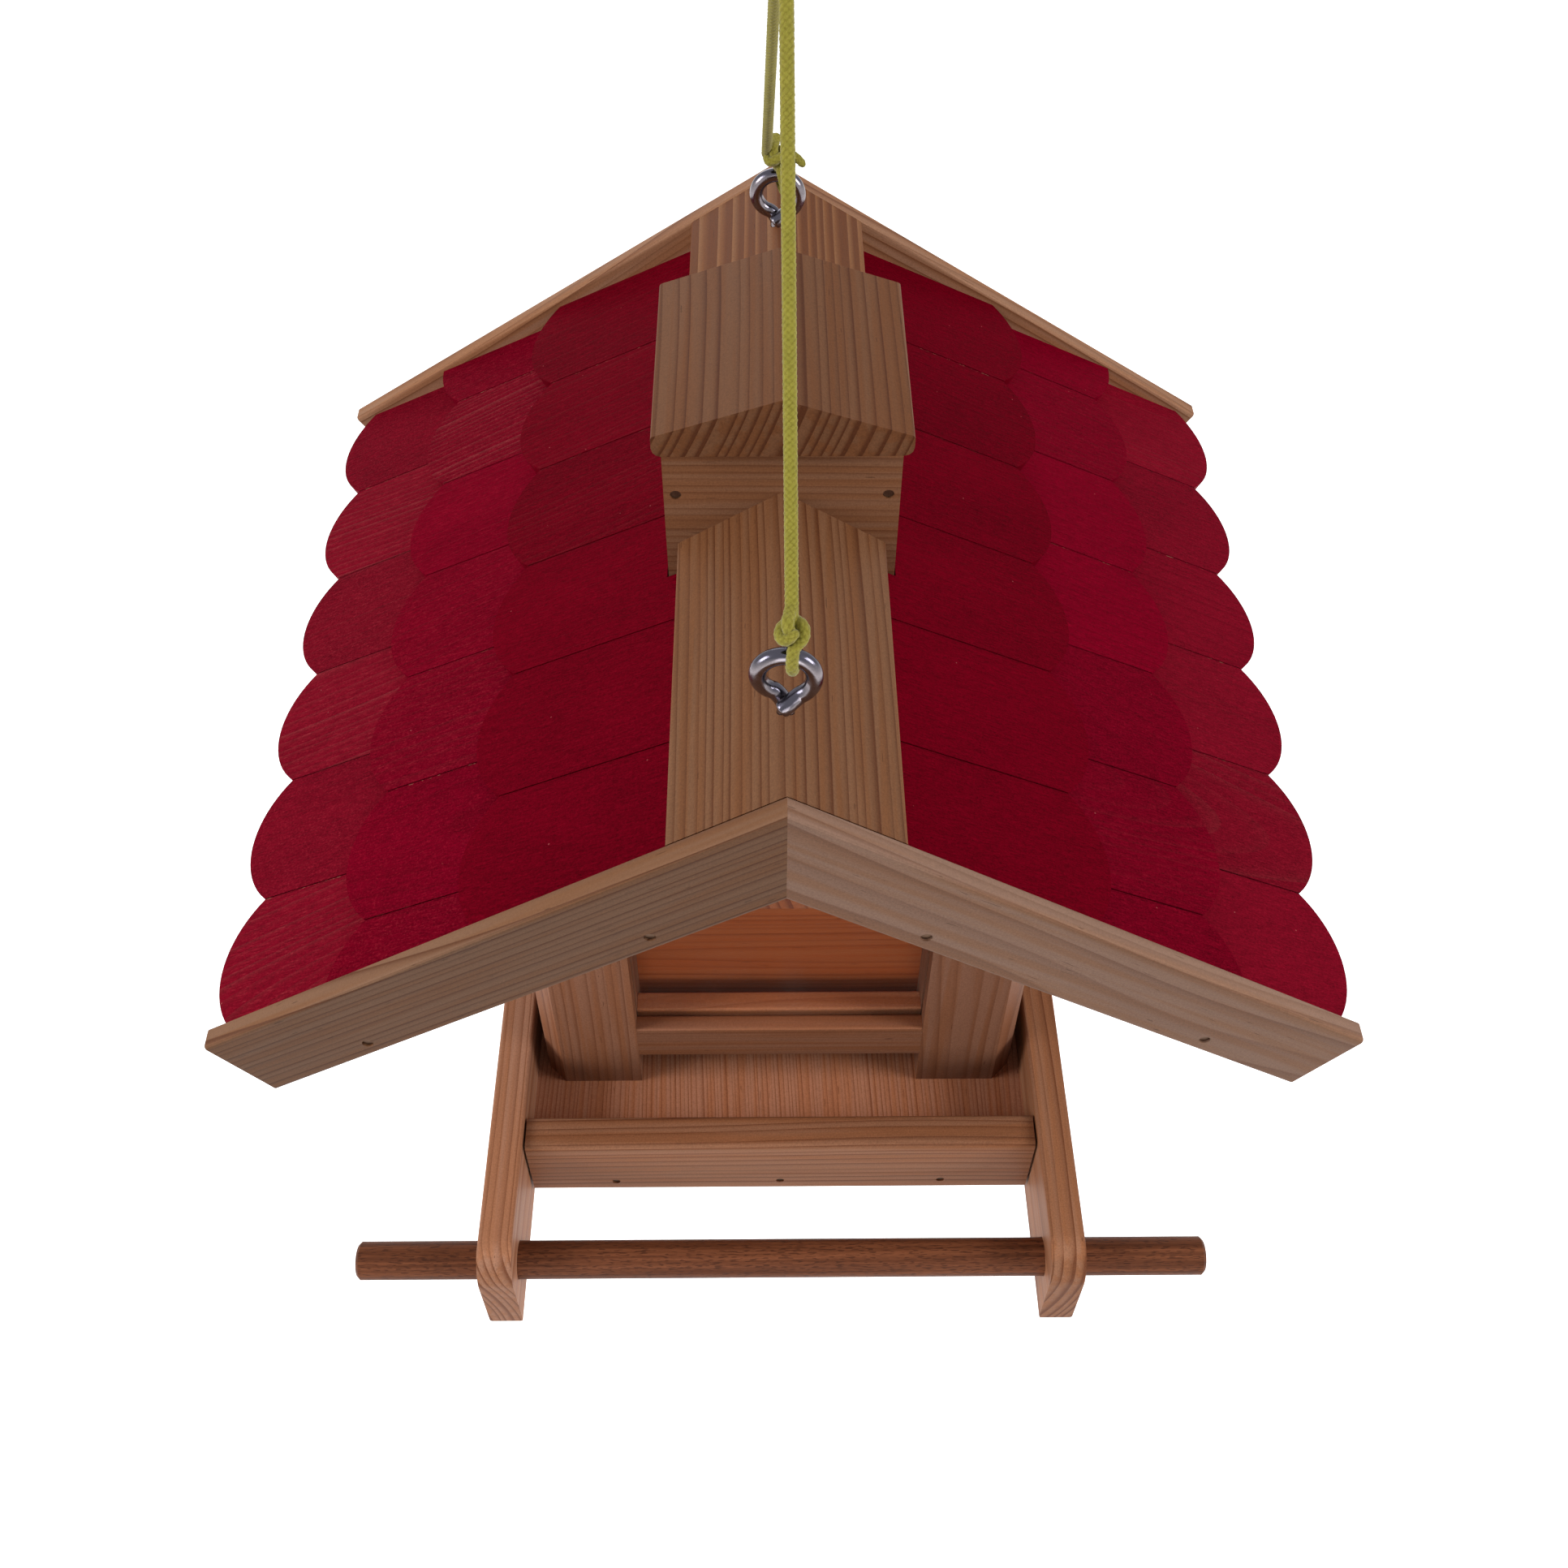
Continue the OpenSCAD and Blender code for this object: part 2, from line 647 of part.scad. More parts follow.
// Corner k of the eight-sided ring at point i of the route
function ring_corner(i, k) =
    let (ahead = unit(route[min(i + 1, len(route) - 1)] - route[max(i - 1, 0)]))
    let (side = unit(cross(ahead, [1, 0, 0])), across = cross(side, ahead), a = 360 * k / cord_sides)
    route[i] + cord_d / 2 * (across * cos(a) + side * sin(a));

module cord() {
    n = len(route);
    m = cord_sides;
    color("yellowgreen") polyhedron(
        points = [for (i = [0:n - 1], k = [0:m - 1]) ring_corner(i, k)],
        faces = concat([[for (k = [0:m - 1]) k]], [[for (k = [0:m - 1]) n * m - 1 - k]],
            [for (i = [0:n - 2], k = [0:m - 1])
                [i * m + k, (i + 1) * m + k, (i + 1) * m + (k + 1) % m, i * m + (k + 1) % m]]));
}

floor_board();
side_rail(-1);  // side_rail_left
side_rail(1);  // side_rail_right
rim(-1);  // rim_front
rim(1);  // rim_back
perch(-1);  // perch_front
perch(1);  // perch_back
side_block(-1);  // side_block_left
side_block(1);  // side_block_right
crossbar(-1);  // crossbar_front
crossbar(1);  // crossbar_back
inner_bar(-1);  // inner_bar_front
inner_bar(1);  // inner_bar_back
pane(-1);  // pane_front
pane(1);  // pane_back
chute_board(-1);  // chute_board_front
chute_board(1);  // chute_board_back
ridge_beam(-1);  // ridge_beam_front
ridge_beam(1);  // ridge_beam_back
roof_board(-1);  // roof_board_left
roof_board(1);  // roof_board_right
eave_strip(-1);  // eave_strip_left
eave_strip(1);  // eave_strip_right
bargeboard(-1, -1);  // bargeboard_front_left
bargeboard(-1, 1);  // bargeboard_front_right
bargeboard(1, -1);  // bargeboard_back_left
bargeboard(1, 1);  // bargeboard_back_right
shingles_eave(-1);  // shingles_left_eave
shingles_middle(-1);  // shingles_left_middle
shingles_top(-1);  // shingles_left_top
shingles_eave(1);  // shingles_right_eave
shingles_middle(1);  // shingles_right_middle
shingles_top(1);  // shingles_right_top
ridge_cap(-1);  // ridge_cap_front
ridge_cap(1);  // ridge_cap_back
chimney_end(-1);  // chimney_front
chimney_end(1);  // chimney_back
chimney_side(-1);  // chimney_left
chimney_side(1);  // chimney_right
lid();
lid_plug();
eye_screw(-front_eye_y, front_eye_z);  // eye_screw_front
eye_screw(back_eye_y, back_eye_z);  // eye_screw_back
cord();
eye_knot(-front_eye_y, front_eye_z, front_knot_turn, 4);  // knot_front
eye_knot(back_eye_y, back_eye_z, back_knot_turn, 7);  // knot_back
knot_top();
color("gray") hung() rim_nail_set(0);  // rim_nails
color("gray") hung() gable_nail_set(0);  // gable_nails
color("gray") hung() chimney_nail_set(0);  // chimney_nails
color("gray") hung() rail_nail_set(0);  // rail_nails
color("gray") hung() floor_nail_set(0);  // floor_nails
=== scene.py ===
# %% [markdown]
# # A hanging bird feeder with a shingled roof
#
# The real feeder is a small house of softwood: a floor with low rails, two blocks that carry a
# steep roof, scalloped shingles stained red, a chimney through which the seed is poured, and a
# braided cord tied to two eye screws. The shapes of the boards come ready-made from the CAD
# model. This lesson gives them their wood, stain, wire and cord, and lights them as a studio does.
#
# We start by loading the CAD model as a fixed frame. Every piece that we make later is put where
# the frame says, in metres, and rides on one of its bodies.

# %% Load the frame
import math

import bpy
import numpy as np
from mathutils import Matrix, Vector


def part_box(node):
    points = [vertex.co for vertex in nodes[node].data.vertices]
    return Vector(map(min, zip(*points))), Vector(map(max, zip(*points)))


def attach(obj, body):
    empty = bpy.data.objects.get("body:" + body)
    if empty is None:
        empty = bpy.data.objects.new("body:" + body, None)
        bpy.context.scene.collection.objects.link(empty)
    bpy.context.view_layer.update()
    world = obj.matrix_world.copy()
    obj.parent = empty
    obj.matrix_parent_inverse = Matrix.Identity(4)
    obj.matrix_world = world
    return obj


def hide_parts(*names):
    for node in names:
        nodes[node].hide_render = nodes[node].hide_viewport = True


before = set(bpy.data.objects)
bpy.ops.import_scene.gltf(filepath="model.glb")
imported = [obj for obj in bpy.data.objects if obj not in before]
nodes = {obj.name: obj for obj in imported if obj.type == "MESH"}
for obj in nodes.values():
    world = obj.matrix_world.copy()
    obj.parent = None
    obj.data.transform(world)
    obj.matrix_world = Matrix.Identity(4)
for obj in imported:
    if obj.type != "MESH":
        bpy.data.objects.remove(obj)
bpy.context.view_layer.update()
print(len(nodes), "pieces in the frame")

# %% [markdown]
# ## The camera
#
# The photograph was taken from close by and well above the feeder, so the lines run together
# strongly. A camera needs its place, three angles and a focal length. They were fitted to the
# corners of the boards, and are simply written down here. The small shift says that the
# photograph's optical centre isn't quite its middle. The tilt is used again for the knots.

# %% Place the camera
PAN, TILT, ROLL = -0.00603, 0.88193, -0.00062

camera_data = bpy.data.cameras.new("photo_camera")
camera_data.sensor_width = 36
camera_data.lens = 37.574
camera_data.shift_x = 0.00884
camera_data.shift_y = -0.0054
camera_data.clip_start = 0.01
camera = bpy.data.objects.new("photo_camera", camera_data)
camera.matrix_world = (Matrix.Translation((-0.003932, -0.271545, 0.059769))
                       @ Matrix.Rotation(PAN, 4, "Z")
                       @ Matrix.Rotation(math.pi / 2 - TILT, 4, "X")
                       @ Matrix.Rotation(ROLL, 4, "Z"))
bpy.context.scene.collection.objects.link(camera)
bpy.context.scene.camera = camera
print("camera looks down by", round(math.degrees(TILT), 1), "degrees")

# %% [markdown]
# ## A tube that follows a path
#
# Cord and wire are both long round things that bend. We give a few points, and one
# function spaces many points evenly on a smooth curve through them. Another sweeps a ring of
# points along that path. It keeps the ring from twisting by carrying its sideways direction from
# point to point, and asks for the tube's radius at each place, so that a braid and a thread are
# only two ways to answer.

# %% Smooth paths
def smooth_path(points, step):
    """Points about step apart on a smooth curve through the given points."""
    p = [Vector(q) for q in points]
    p = [2 * p[0] - p[1]] + p + [2 * p[-1] - p[-2]]
    dense = []
    for a, b, c, d in zip(p, p[1:], p[2:], p[3:]):
        for k in range(24):
            t = k / 24
            dense.append(0.5 * (2 * b + (c - a) * t + (2 * a - 5 * b + 4 * c - d) * t ** 2
                                + (3 * b - 3 * c + d - a) * t ** 3))
    dense.append(p[-2])
    runs = [0.0]
    for a, b in zip(dense, dense[1:]):
        runs.append(runs[-1] + (b - a).length)
    count = max(2, round(runs[-1] / step))
    places = np.linspace(0, runs[-1], count + 1)
    axes = [np.interp(places, runs, [q[i] for q in dense]) for i in range(3)]
    return [Vector(q) for q in zip(*axes)]


def path_length(path):
    """The length of a path, in metres."""
    return sum((b - a).length for a, b in zip(path, path[1:]))


print("smooth paths are ready")

# %% Sweep a tube
def ring_frames(path):
    """For each point of a path, two directions across it that don't twist."""
    frames, side = [], None
    for i, point in enumerate(path):
        ahead = (path[min(i + 1, len(path) - 1)] - path[max(i - 1, 0)]).normalized()
        if side is None:
            side = ahead.orthogonal().normalized()
        side = (side - ahead * side.dot(ahead)).normalized()
        frames.append((side, ahead.cross(side)))
    return frames


def tube(name, path, sides, reach, body="feeder"):
    """A tube along a path; reach gives its radius, from a ring's number, its place and a turn."""
    points, along = [], 0.0
    for i, (point, (side, up)) in enumerate(zip(path, ring_frames(path))):
        along += (point - path[i - 1]).length if i else 0
        for k in range(sides):
            turn = 2 * math.pi * k / sides
            points.append(point + reach(i, along, turn) * (side * math.cos(turn) + up * math.sin(turn)))
    last = (len(path) - 1) * sides
    faces = [(i + k, i + (k + 1) % sides, i + sides + (k + 1) % sides, i + sides + k)
             for i in range(0, last, sides) for k in range(sides)]
    faces += [tuple(range(sides))[::-1], tuple(range(last, last + sides))]
    mesh = bpy.data.meshes.new(name)
    mesh.from_pydata(points, [], faces)
    mesh.shade_smooth()
    piece = bpy.data.objects.new(name, mesh)
    bpy.context.scene.collection.objects.link(piece)
    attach(piece, body)
    return piece


print("tubes are ready")

# %% [markdown]
# ## The braid
#
# The cord is braided from twelve flat bundles of yarn: six wind one way and six the other, and
# each passes over and under the ones that cross it. Painted on, that would look flat from close
# by, so the bundles are modelled. Around the cord run two families of helical stripes. Where the
# numbers of the two stripes add up to an even number, the first family lies on top, otherwise
# the second does. STITCH is how far along the cord the next stripe crosses. A little chance is
# added at each point, as yarn is fuzzy. The height of the top bundle is also stored on each
# point, and the material uses it to paint shade into the grooves.

# %% Sweep a braided cord along a path
CORD = 0.0025
BUNDLES = 6
STITCH = 0.00115


def braid_height(around, along):
    """Height of the braid, from 0 to 1, at a turn around the cord and a distance along it."""
    first = around * BUNDLES + along / STITCH
    second = around * BUNDLES - along / STITCH
    if (math.floor(first) + math.floor(second)) % 2:
        first, second = second, first
    across = abs(first % 1 - 0.5) * 2
    ends = abs(second % 1 - 0.5) * 2
    return (1 - across ** 2.4) * (1 - 0.55 * ends ** 2)


def braided(name, path, sides=32, radius=CORD / 2, taper=None):
    """A braided cord; taper maps a share of the length to a share of the radius."""
    fuzz = np.random.default_rng(4)
    heights = []

    def reach(i, along, turn):
        share = taper(i / (len(path) - 1)) if taper else 1
        heights.append(braid_height(turn / (2 * math.pi), along))
        return radius * share * (0.84 + 0.1 * heights[-1] + 0.06 * fuzz.random())

    piece = tube(name, path, sides, reach)
    piece.data.attributes.new("groove", "FLOAT", "POINT").data.foreach_set("value", heights)
    return piece


print("braid:", 2 * BUNDLES, "bundles")

# %% [markdown]
# ## The cord's route
#
# The cord runs from the front eye screw up to the hanging loop and down to the back one. The
# route is the one that the CAD model's cord follows, point for point. The length between the two
# lower knots is the length that the photograph shows, plus the loop above its upper edge, from
# which the feeder hangs. The weight of the feeder keeps both strands straight. HANG is the height
# of the loop's seat above the side rails, and a knot's middle sits KNOT_RISE from its eye's.

# %% The free cord
HANG = 0.3448
KNOT_RISE = 0.0106
front_eye = Vector((0, -0.078, 0.19655 - HANG))
back_eye = Vector((0, 0.0765, 0.19555 - HANG))


def knot_place(eye, turn):
    """Middle of the knot over an eye screw, which leans by turn degrees."""
    turn = math.radians(turn)
    return eye + KNOT_RISE * Vector((math.sin(turn), 0, math.cos(turn)))


front_knot = knot_place(front_eye, 5)
back_knot = knot_place(back_eye, -14)
loop_side = [(-8, -40.7), (-4.4, -35.6), (-2.2, -32), (-1.6, -28.5), (-2.6, -24), (-5.4, -17.5),
             (-7.6, -11.5), (-8, -7), (-6.6, -2.4), (-3.6, 0.4)]
front_side = [Vector((0, y / 1000, z / 1000)) for y, z in loop_side]
back_side = [Vector((0, -p.y, p.z)) for p in reversed(front_side)]
route = ([front_knot.lerp(front_side[0], k / 20) for k in range(20)] + front_side
         + [Vector((0, 0, CORD / 2))] + back_side
         + [back_side[-1].lerp(back_knot, k / 20) for k in range(1, 21)])
cord_path = smooth_path(route, step=0.00019)
cord = braided("cord_braid", cord_path)
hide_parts("cord")

# %% [markdown]
# ## Three knots
#
# Each lower knot hitches the cord to its ring: the cord goes down through the ring, comes up
# behind it, wraps once around itself and is pulled tight, so that neighbouring turns press into
# each other. A knot is drawn as one more path about its own middle. Its points were read off the
# tilted photograph, so each says how far it lies to the right, up and nearer to the viewer, and
# one turn by the camera's tilt puts them in place. The back knot leans, and keeps a longer tail.
# The top knot ties both strands together, and is three wraps around them.

# %% Draw the two lower knots
hitch = [(0, 4.8, 1.3), (-0.45, 3, 1.9), (-0.75, 1.7, 2.5), (-0.65, 0.6, 2.3), (-0.25, -0.4, 1.1),
         (0.2, -1.2, -0.4), (0.3, -0.7, -3.3), (0.3, -1.4, -6), (0.3, -3.8, -7.6), (0.3, -5.4, -6.6),
         (0.1, -5.9, -4), (0, -5.5, -2.2), (0.1, -4, -0.6), (0.3, -2.7, 0.2), (1, -1.8, 0.4),
         (1.8, -0.9, 0.7), (2, 0.3, 0.9), (1.6, 1.4, 0.8), (0.6, 2, 0.1), (-0.6, 1.8, -0.3),
         (-1.6, 1, 0.4), (-2, -0.1, 0.9), (-1.6, -1.1, 1.5), (-0.8, -1.2, 2.1)]
front_tail = [(0.1, -0.6, 2.6), (0.95, 0.3, 2.6)]
back_hitch = [(right + max(0, -1 - up) * 0.4, up, nearer) for right, up, nearer in hitch]
back_tail = [(0.4, -0.7, 2.5), (1.6, -0.2, 2.4), (3.4, 0.2, 1.6), (5, -0.5, 1), (6.4, -1.9, 0.4)]


def placed(points, middle):
    """Points (right, up, nearer) in the photograph's view, in millimetres, put about a middle."""
    tilt = Matrix.Rotation(-TILT, 3, "X")
    return [middle + tilt @ Vector((right, -near, up)) / 1000 for right, up, near in points]


print("hitch:", len(hitch), "points")

# %% Tie the knots
def cut_end(share):
    """A cord's cut end is rounded, and its last few millimetres are drawn a little thinner."""
    rest = 1 - share
    return min(1, 0.72 + 4 * rest) * math.sqrt(max(0, 1 - max(0, 1 - rest / 0.022) ** 2)) + 0.02


knots = []
back_middle = back_knot + Vector((0.0023, -0.001, -0.0008))
for end, middle, bends in (("front", front_knot, hitch + front_tail),
                           ("back", back_middle, back_hitch + back_tail)):
    path = smooth_path(placed(bends, middle), step=0.00015)
    knot = braided("knot_%s_braid" % end, path, radius=0.00115, taper=cut_end)
    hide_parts("knot_" + end)
    knots.append(knot)

turns = 6.3 * math.pi
wraps = [(2.5 * math.sin(t), 3.9 * math.cos(t), -34.2 + 8.4 * t / turns) for t in np.linspace(0, turns, 76)]
wraps = [(0, 1.2, -35.2)] + wraps + [(0, 1, -25.4)]
top_path = smooth_path([Vector(p) / 1000 for p in wraps], step=0.00018)
knot = braided("knot_top_braid", top_path)
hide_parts("knot_top")
knots.append(knot)
print("knots:", [k.name for k in knots])

# %% [markdown]
# ## The eye screws
#
# A real eye screw is one length of zinc-plated wire: it comes up out of the wood, bends over to
# the left, runs round the ring and ends in front of its own shank, where the cut end is visible.
# That crossing gives the hole its pointed foot. We sweep a round wire along that path; WIRE is
# half its thickness. In the wood it carries a thread, a helical groove that makes the radius a
# little smaller and climbs by THREAD in every turn.

# %% Draw the wire
WIRE = 0.0016
THREAD = 0.0013


def wire(name, path, thread_below):
    """A round wire with a point and a rounded cut end; below a height its surface carries a thread."""
    total = path_length(path)

    def reach(i, along, turn):
        tip, cut = min(1, along / 0.006), min(1, (total - along) / 0.0007)
        radius = WIRE * (0.15 + 0.85 * tip) * (0.62 + 0.38 * math.sqrt(1 - (1 - cut) ** 2))
        groove = 0.0
        if path[i].z < thread_below:
            groove = 0.17 * (0.5 + 0.5 * math.cos(turn - 2 * math.pi * along / THREAD)) ** 2
        return radius * (1 - groove)

    piece = tube(name, path, 40, reach)
    return piece


print("wire:", 2 * WIRE, "m thick")

# %% Bend the eye screws
def ring_part(first, last, y_first, y_last, radius=4.95, count=22):
    """Points around the ring between two angles, in millimetres about its middle."""
    points = []
    for k in range(count + 1):
        turn = math.radians(first + (last - first) * k / count)
        y = y_first + (y_last - y_first) * k / count
        points.append((radius * math.cos(turn), y, radius * math.sin(turn)))
    return points


neck = [(0, 0, -11), (0, 0.1, -8.6), (-0.25, 0.5, -7.3), (-1, 0.8, -5.9)]
foot = [(1.25, -1.05, -5.1), (0.2, -1.65, -5.8), (-1, -2.05, -6.7)]
front_bend = [(0, 0, z) for z in (-36, -28, -18)] + neck + ring_part(246, -60, 0.85, -0.5) + foot
back_bend = ([(0, 0, z) for z in (-35, -27, -17)] + [(x, y, z + 0.6) for x, y, z in neck]
             + ring_part(248, -62, 0.85, -0.5) + [(x, y, z + 0.4) for x, y, z in foot])
eyes = []
for end, middle, bend, surface in (("front", front_eye, front_bend, 0.0076),
                                   ("back", back_eye, back_bend, 0.0066)):
    path = smooth_path([middle + Vector(p) / 1000 for p in bend], step=0.00022)
    eye = wire("eye_screw_%s_wire" % end, path, middle.z - surface - 0.002)
    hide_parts("eye_screw_" + end)
    eyes.append(eye)
print("eye screws:", [len(e.data.vertices) for e in eyes], "points")

# %% [markdown]
# ## Node maths written as Python
#
# A procedural material is a formula over the place on the surface. Wiring each step by hand
# hides the formula, so one small class wraps a socket, and its operators add the Math nodes.
# Colours and vectors have their own two methods, because a Math node would turn them grey, and
# one method makes every other node.

# %% A socket that can be calculated with
class Value:
    """One output socket, which Python's operators can build on."""

    def __init__(self, tree, socket):
        self.tree, self.socket = tree, socket

    def make(self, kind, settings=None, inputs=None, output=0):
        """A node of a type, with its settings made first and its sockets given by name or number."""
        node = self.tree.nodes.new(kind)
        for key, setting in (settings or {}).items():
            setattr(node, key, setting)
        for key, given in (inputs or {}).items():
            if isinstance(given, Value):
                self.tree.links.new(given.socket, node.inputs[key])
            else:
                node.inputs[key].default_value = given
        return Value(self.tree, node.outputs[output])

    def math(self, operation, *others, clamp=False):
        return self.make("ShaderNodeMath", {"operation": operation, "use_clamp": clamp},
                         dict(enumerate((self,) + others)))

    def vector(self, operation, other=None, **inputs):
        given = {0: self} if other is None else {0: self, 1: other}
        return self.make("ShaderNodeVectorMath", {"operation": operation}, {**given, **inputs})

    def mix(self, first, second):
        """Two colours mixed by this value."""
        colours = [c if isinstance(c, Value) else (*c, 1) for c in (first, second)]
        return self.make("ShaderNodeMix", {"data_type": "RGBA"}, {0: self, 6: colours[0], 7: colours[1]}, 2)

    def shaded(self, tone):
        """This colour, with its brightness multiplied by a tone."""
        grey = tone.make("ShaderNodeCombineColor", {}, {0: tone, 1: tone, 2: tone})
        return self.make("ShaderNodeMix", {"data_type": "RGBA", "blend_type": "MULTIPLY"},
                         {0: 1.0, 6: self, 7: grey}, 2)

    def ramp(self, low, high):
        """A smooth step from 0 to 1, while this value runs from low to high."""
        return self.make("ShaderNodeMapRange", {"interpolation_type": "SMOOTHSTEP"},
                         {0: self, 1: low, 2: high})

    def chance(self, seed):
        """A random number from 0 to 1 that stays the same while this value does."""
        return self.make("ShaderNodeTexWhiteNoise", {"noise_dimensions": "1D"}, {"W": self + seed})

    def __add__(self, other):
        return self.math("ADD", other)

    def __sub__(self, other):
        return self.math("SUBTRACT", other)

    def __rsub__(self, other):
        return self.make("ShaderNodeMath", {"operation": "SUBTRACT"}, {0: other, 1: self})

    def __mul__(self, other):
        return self.math("MULTIPLY", other)

    def __truediv__(self, other):
        return self.math("DIVIDE", other)

    def __pow__(self, other):
        return self.math("POWER", other)

    __radd__, __rmul__ = __add__, __mul__


def new_finish(name):
    """A material, its shader, and the place on the surface in millimetres."""
    material = bpy.data.materials.new(name)
    material.use_nodes = True
    tree = material.node_tree
    shader = tree.nodes["Principled BSDF"]
    coordinates = tree.nodes.new("ShaderNodeTexCoord")
    place = Value(tree, coordinates.outputs["Object"]).vector("SCALE", Scale=1000.0)
    return material, shader, place


def feed(shader, **given):
    """Sets or links the shader's sockets, whose names are written with _ for a space."""
    for key, value in given.items():
        socket = shader.inputs[key.replace("_", " ")]
        if isinstance(value, Value):
            value.tree.links.new(value.socket, socket)
        else:
            socket.default_value = (*value, 1) if isinstance(value, tuple) else value


def grain_noise(vector, scale, detail=2.0, roughness=0.5, output=0):
    """Soft noise from 0 to 1 at a place, or as three numbers in a colour."""
    return vector.make("ShaderNodeTexNoise", {"noise_dimensions": "3D"},
                       {"Vector": vector, "Scale": scale, "Detail": detail, "Roughness": roughness}, output)


def looked_at(tree):
    """1 for rays that the camera, metal or clear sheet sends, and 0 for those that carry light."""
    rays = tree.nodes.new("ShaderNodeLightPath")
    kinds = [Value(tree, rays.outputs["Is %s Ray" % kind]) for kind in ("Camera", "Glossy", "Transmission")]
    return sum(kinds).math("MINIMUM", 1.0)


def bumped(height, strength, reach):
    """A normal that follows a height; reach is the height's full depth in metres."""
    return height.make("ShaderNodeBump", {}, {"Strength": strength, "Distance": reach, "Height": height})


print("node maths is ready")

# %% [markdown]
# ## Softwood as it grows
#
# A board is cut out of a trunk, and its grain is the trunk's year rings, seen wherever the saw
# went through them. So the material holds the trunk: a core line far outside the board, rings
# around it at a spacing that varies from year to year, and a slow wander along the length. Each
# ring is pale in spring and turns darker until it stops sharply in autumn. Because the formula
# works on the place in space, the lines on a board's face, edge and end agree with each other,
# as they do on real wood. PITCH is the roof's slope in degrees, along which some boards lie.

# %% Where a place lies in its board
PITCH = 32.5


def local_place(place, middle, along, side):
    """The place as (along the grain, across it, across it again), in millimetres about a middle."""
    place = place.vector("SUBTRACT", middle)
    if along == "slope":
        place = place.make("ShaderNodeVectorRotate", {"rotation_type": "Y_AXIS"},
                           {"Vector": place, "Angle": math.radians(-PITCH * side)})
        along = "X"
    parts = [place.make("ShaderNodeSeparateXYZ", {}, {0: place}, i) for i in range(3)]
    return [parts.pop("XYZ".index(along))] + parts


def board_place(place, node, along, side):
    """The place in a node's own board, about the middle of its box."""
    low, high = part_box(node)
    return local_place(place, tuple((low + high) * 500), along, side)


def stretched(parts, long, across, shift):
    """A place pressed together along the grain, for noise that should look drawn out."""
    return parts[0].make("ShaderNodeCombineXYZ", {}, {0: parts[0] * long + shift, 1: parts[1] * across,
                                                      2: parts[2] * across})


def facing(place, along, side):
    """How far a surface cuts across the grain, and how far it faces up, both from 0 to 1."""
    normal = place.make("ShaderNodeTexCoord", {}, {}, 1)
    return (local_place(normal, (0, 0, 0), along, side)[0].math("ABSOLUTE").ramp(0.45, 0.8),
            normal.make("ShaderNodeSeparateXYZ", {}, {0: normal}, 2).ramp(0.4, 0.8))


print("places are ready")

# %% The year rings
def year_rings(parts, lean, reach, spacing, wander, seed):
    """How far a place is into its year ring, from 0 to 1, and how strongly that ring shows."""
    sway = grain_noise(stretched(parts, 0.006, 0.012, seed), 1.0, 1.0, 0.4, 1)
    split = [sway.make("ShaderNodeSeparateColor", {}, {0: sway}, i) for i in range(2)]
    core = reach * math.cos(math.radians(lean)), reach * math.sin(math.radians(lean))
    offsets = [parts[i + 1] + (split[i] - 0.5) * wander + core[i] for i in range(2)]
    years = (offsets[0] * offsets[0] + offsets[1] * offsets[1]) ** 0.5 / spacing
    uneven = years.make("ShaderNodeTexNoise", {"noise_dimensions": "1D"},
                        {"W": years * 0.31 + seed, "Scale": 1.0, "Detail": 1.0})
    years = years + uneven * 1.5
    return years.math("FRACT"), years.math("FLOOR").chance(seed)


print("year rings are ready")

# %% [markdown]
# ## From rings to a finish
#
# The dark autumn wood is mixed over the pale spring wood, which itself has warmer streaks. A tone
# then shades the colour with fine fibres drawn out along the board, open pores and a soft cloud.
# Sawn end grain drinks in dirt, so it is darker and its rings stronger. A face that looks up is
# made lighter by painted light; where that number is below zero, it is made darker by painted
# shade. Here and there a resin pocket leaves a short dark line.

# %% The softwood finish
def softwood(name, node, along, lean, reach, spacing, pale, side=1, wander=14.0, contrast=1.0,
             seed=0.0, thin=3.6, crown=0.0):
    """One board's finish, from where its trunk's core lay and how wide its rings are."""
    material, shader, place = new_finish(name)
    parts = board_place(place, node, along, side)
    ring, strength = year_rings(parts, lean, reach, spacing, wander, seed)
    end, up = facing(place, along, side)
    dark = pale[0] * 0.52, pale[1] * 0.37, pale[2] * 0.28
    warm = pale[0] * 0.96, pale[1] * 0.84, pale[2] * 0.7
    streak = grain_noise(stretched(parts, 0.012, 0.4, seed + 21), 1.0, 1.0).ramp(0.4, 0.62)
    late = (ring ** thin * (1 - ring.ramp(0.92, 1.0)) * (strength * 0.6 + 0.52) * contrast
            * (1 + end * 1.3))
    fibre = grain_noise(stretched(parts, 0.10, 2.6, seed + 3), 1.0, 3.0, 0.6)
    fine = grain_noise(stretched(parts, 0.9, 7.0, seed + 5), 1.0, 2.0, 0.7)
    pores = grain_noise(place, 2.3, 2.0, 0.8)
    cloud = grain_noise(stretched(parts, 0.018, 0.07, seed + 9), 1.0, 2.0)
    # the last term paints light on faces that look up, and paints shade on them where its number is below
    # zero
    tone = (1 + (fibre - 0.5) * 0.3 + (fine - 0.5) * 0.25 + (pores - 0.5) * 0.75
            + (cloud - 0.5) * 0.16 - end * 0.16 + up * crown)
    colour = late.math("MULTIPLY", 1.0, clamp=True).mix(streak.mix(pale, warm), dark).shaded(tone)
    pocket = grain_noise(stretched(parts, 0.22, 1.9, seed + 17), 1.0, 0.0).ramp(0.82, 0.87) * 0.5
    colour = pocket.mix(colour, tuple(c * 0.45 for c in dark))
    height = late * 0.5 + fibre * 0.4 + fine * 0.3 + pores * 0.35
    feed(shader, Base_Color=colour, Roughness=0.56 + (fibre - 0.5) * 0.2, Specular_IOR_Level=0.1,
         Normal=bumped(height, 0.5, 0.00006))
    return material


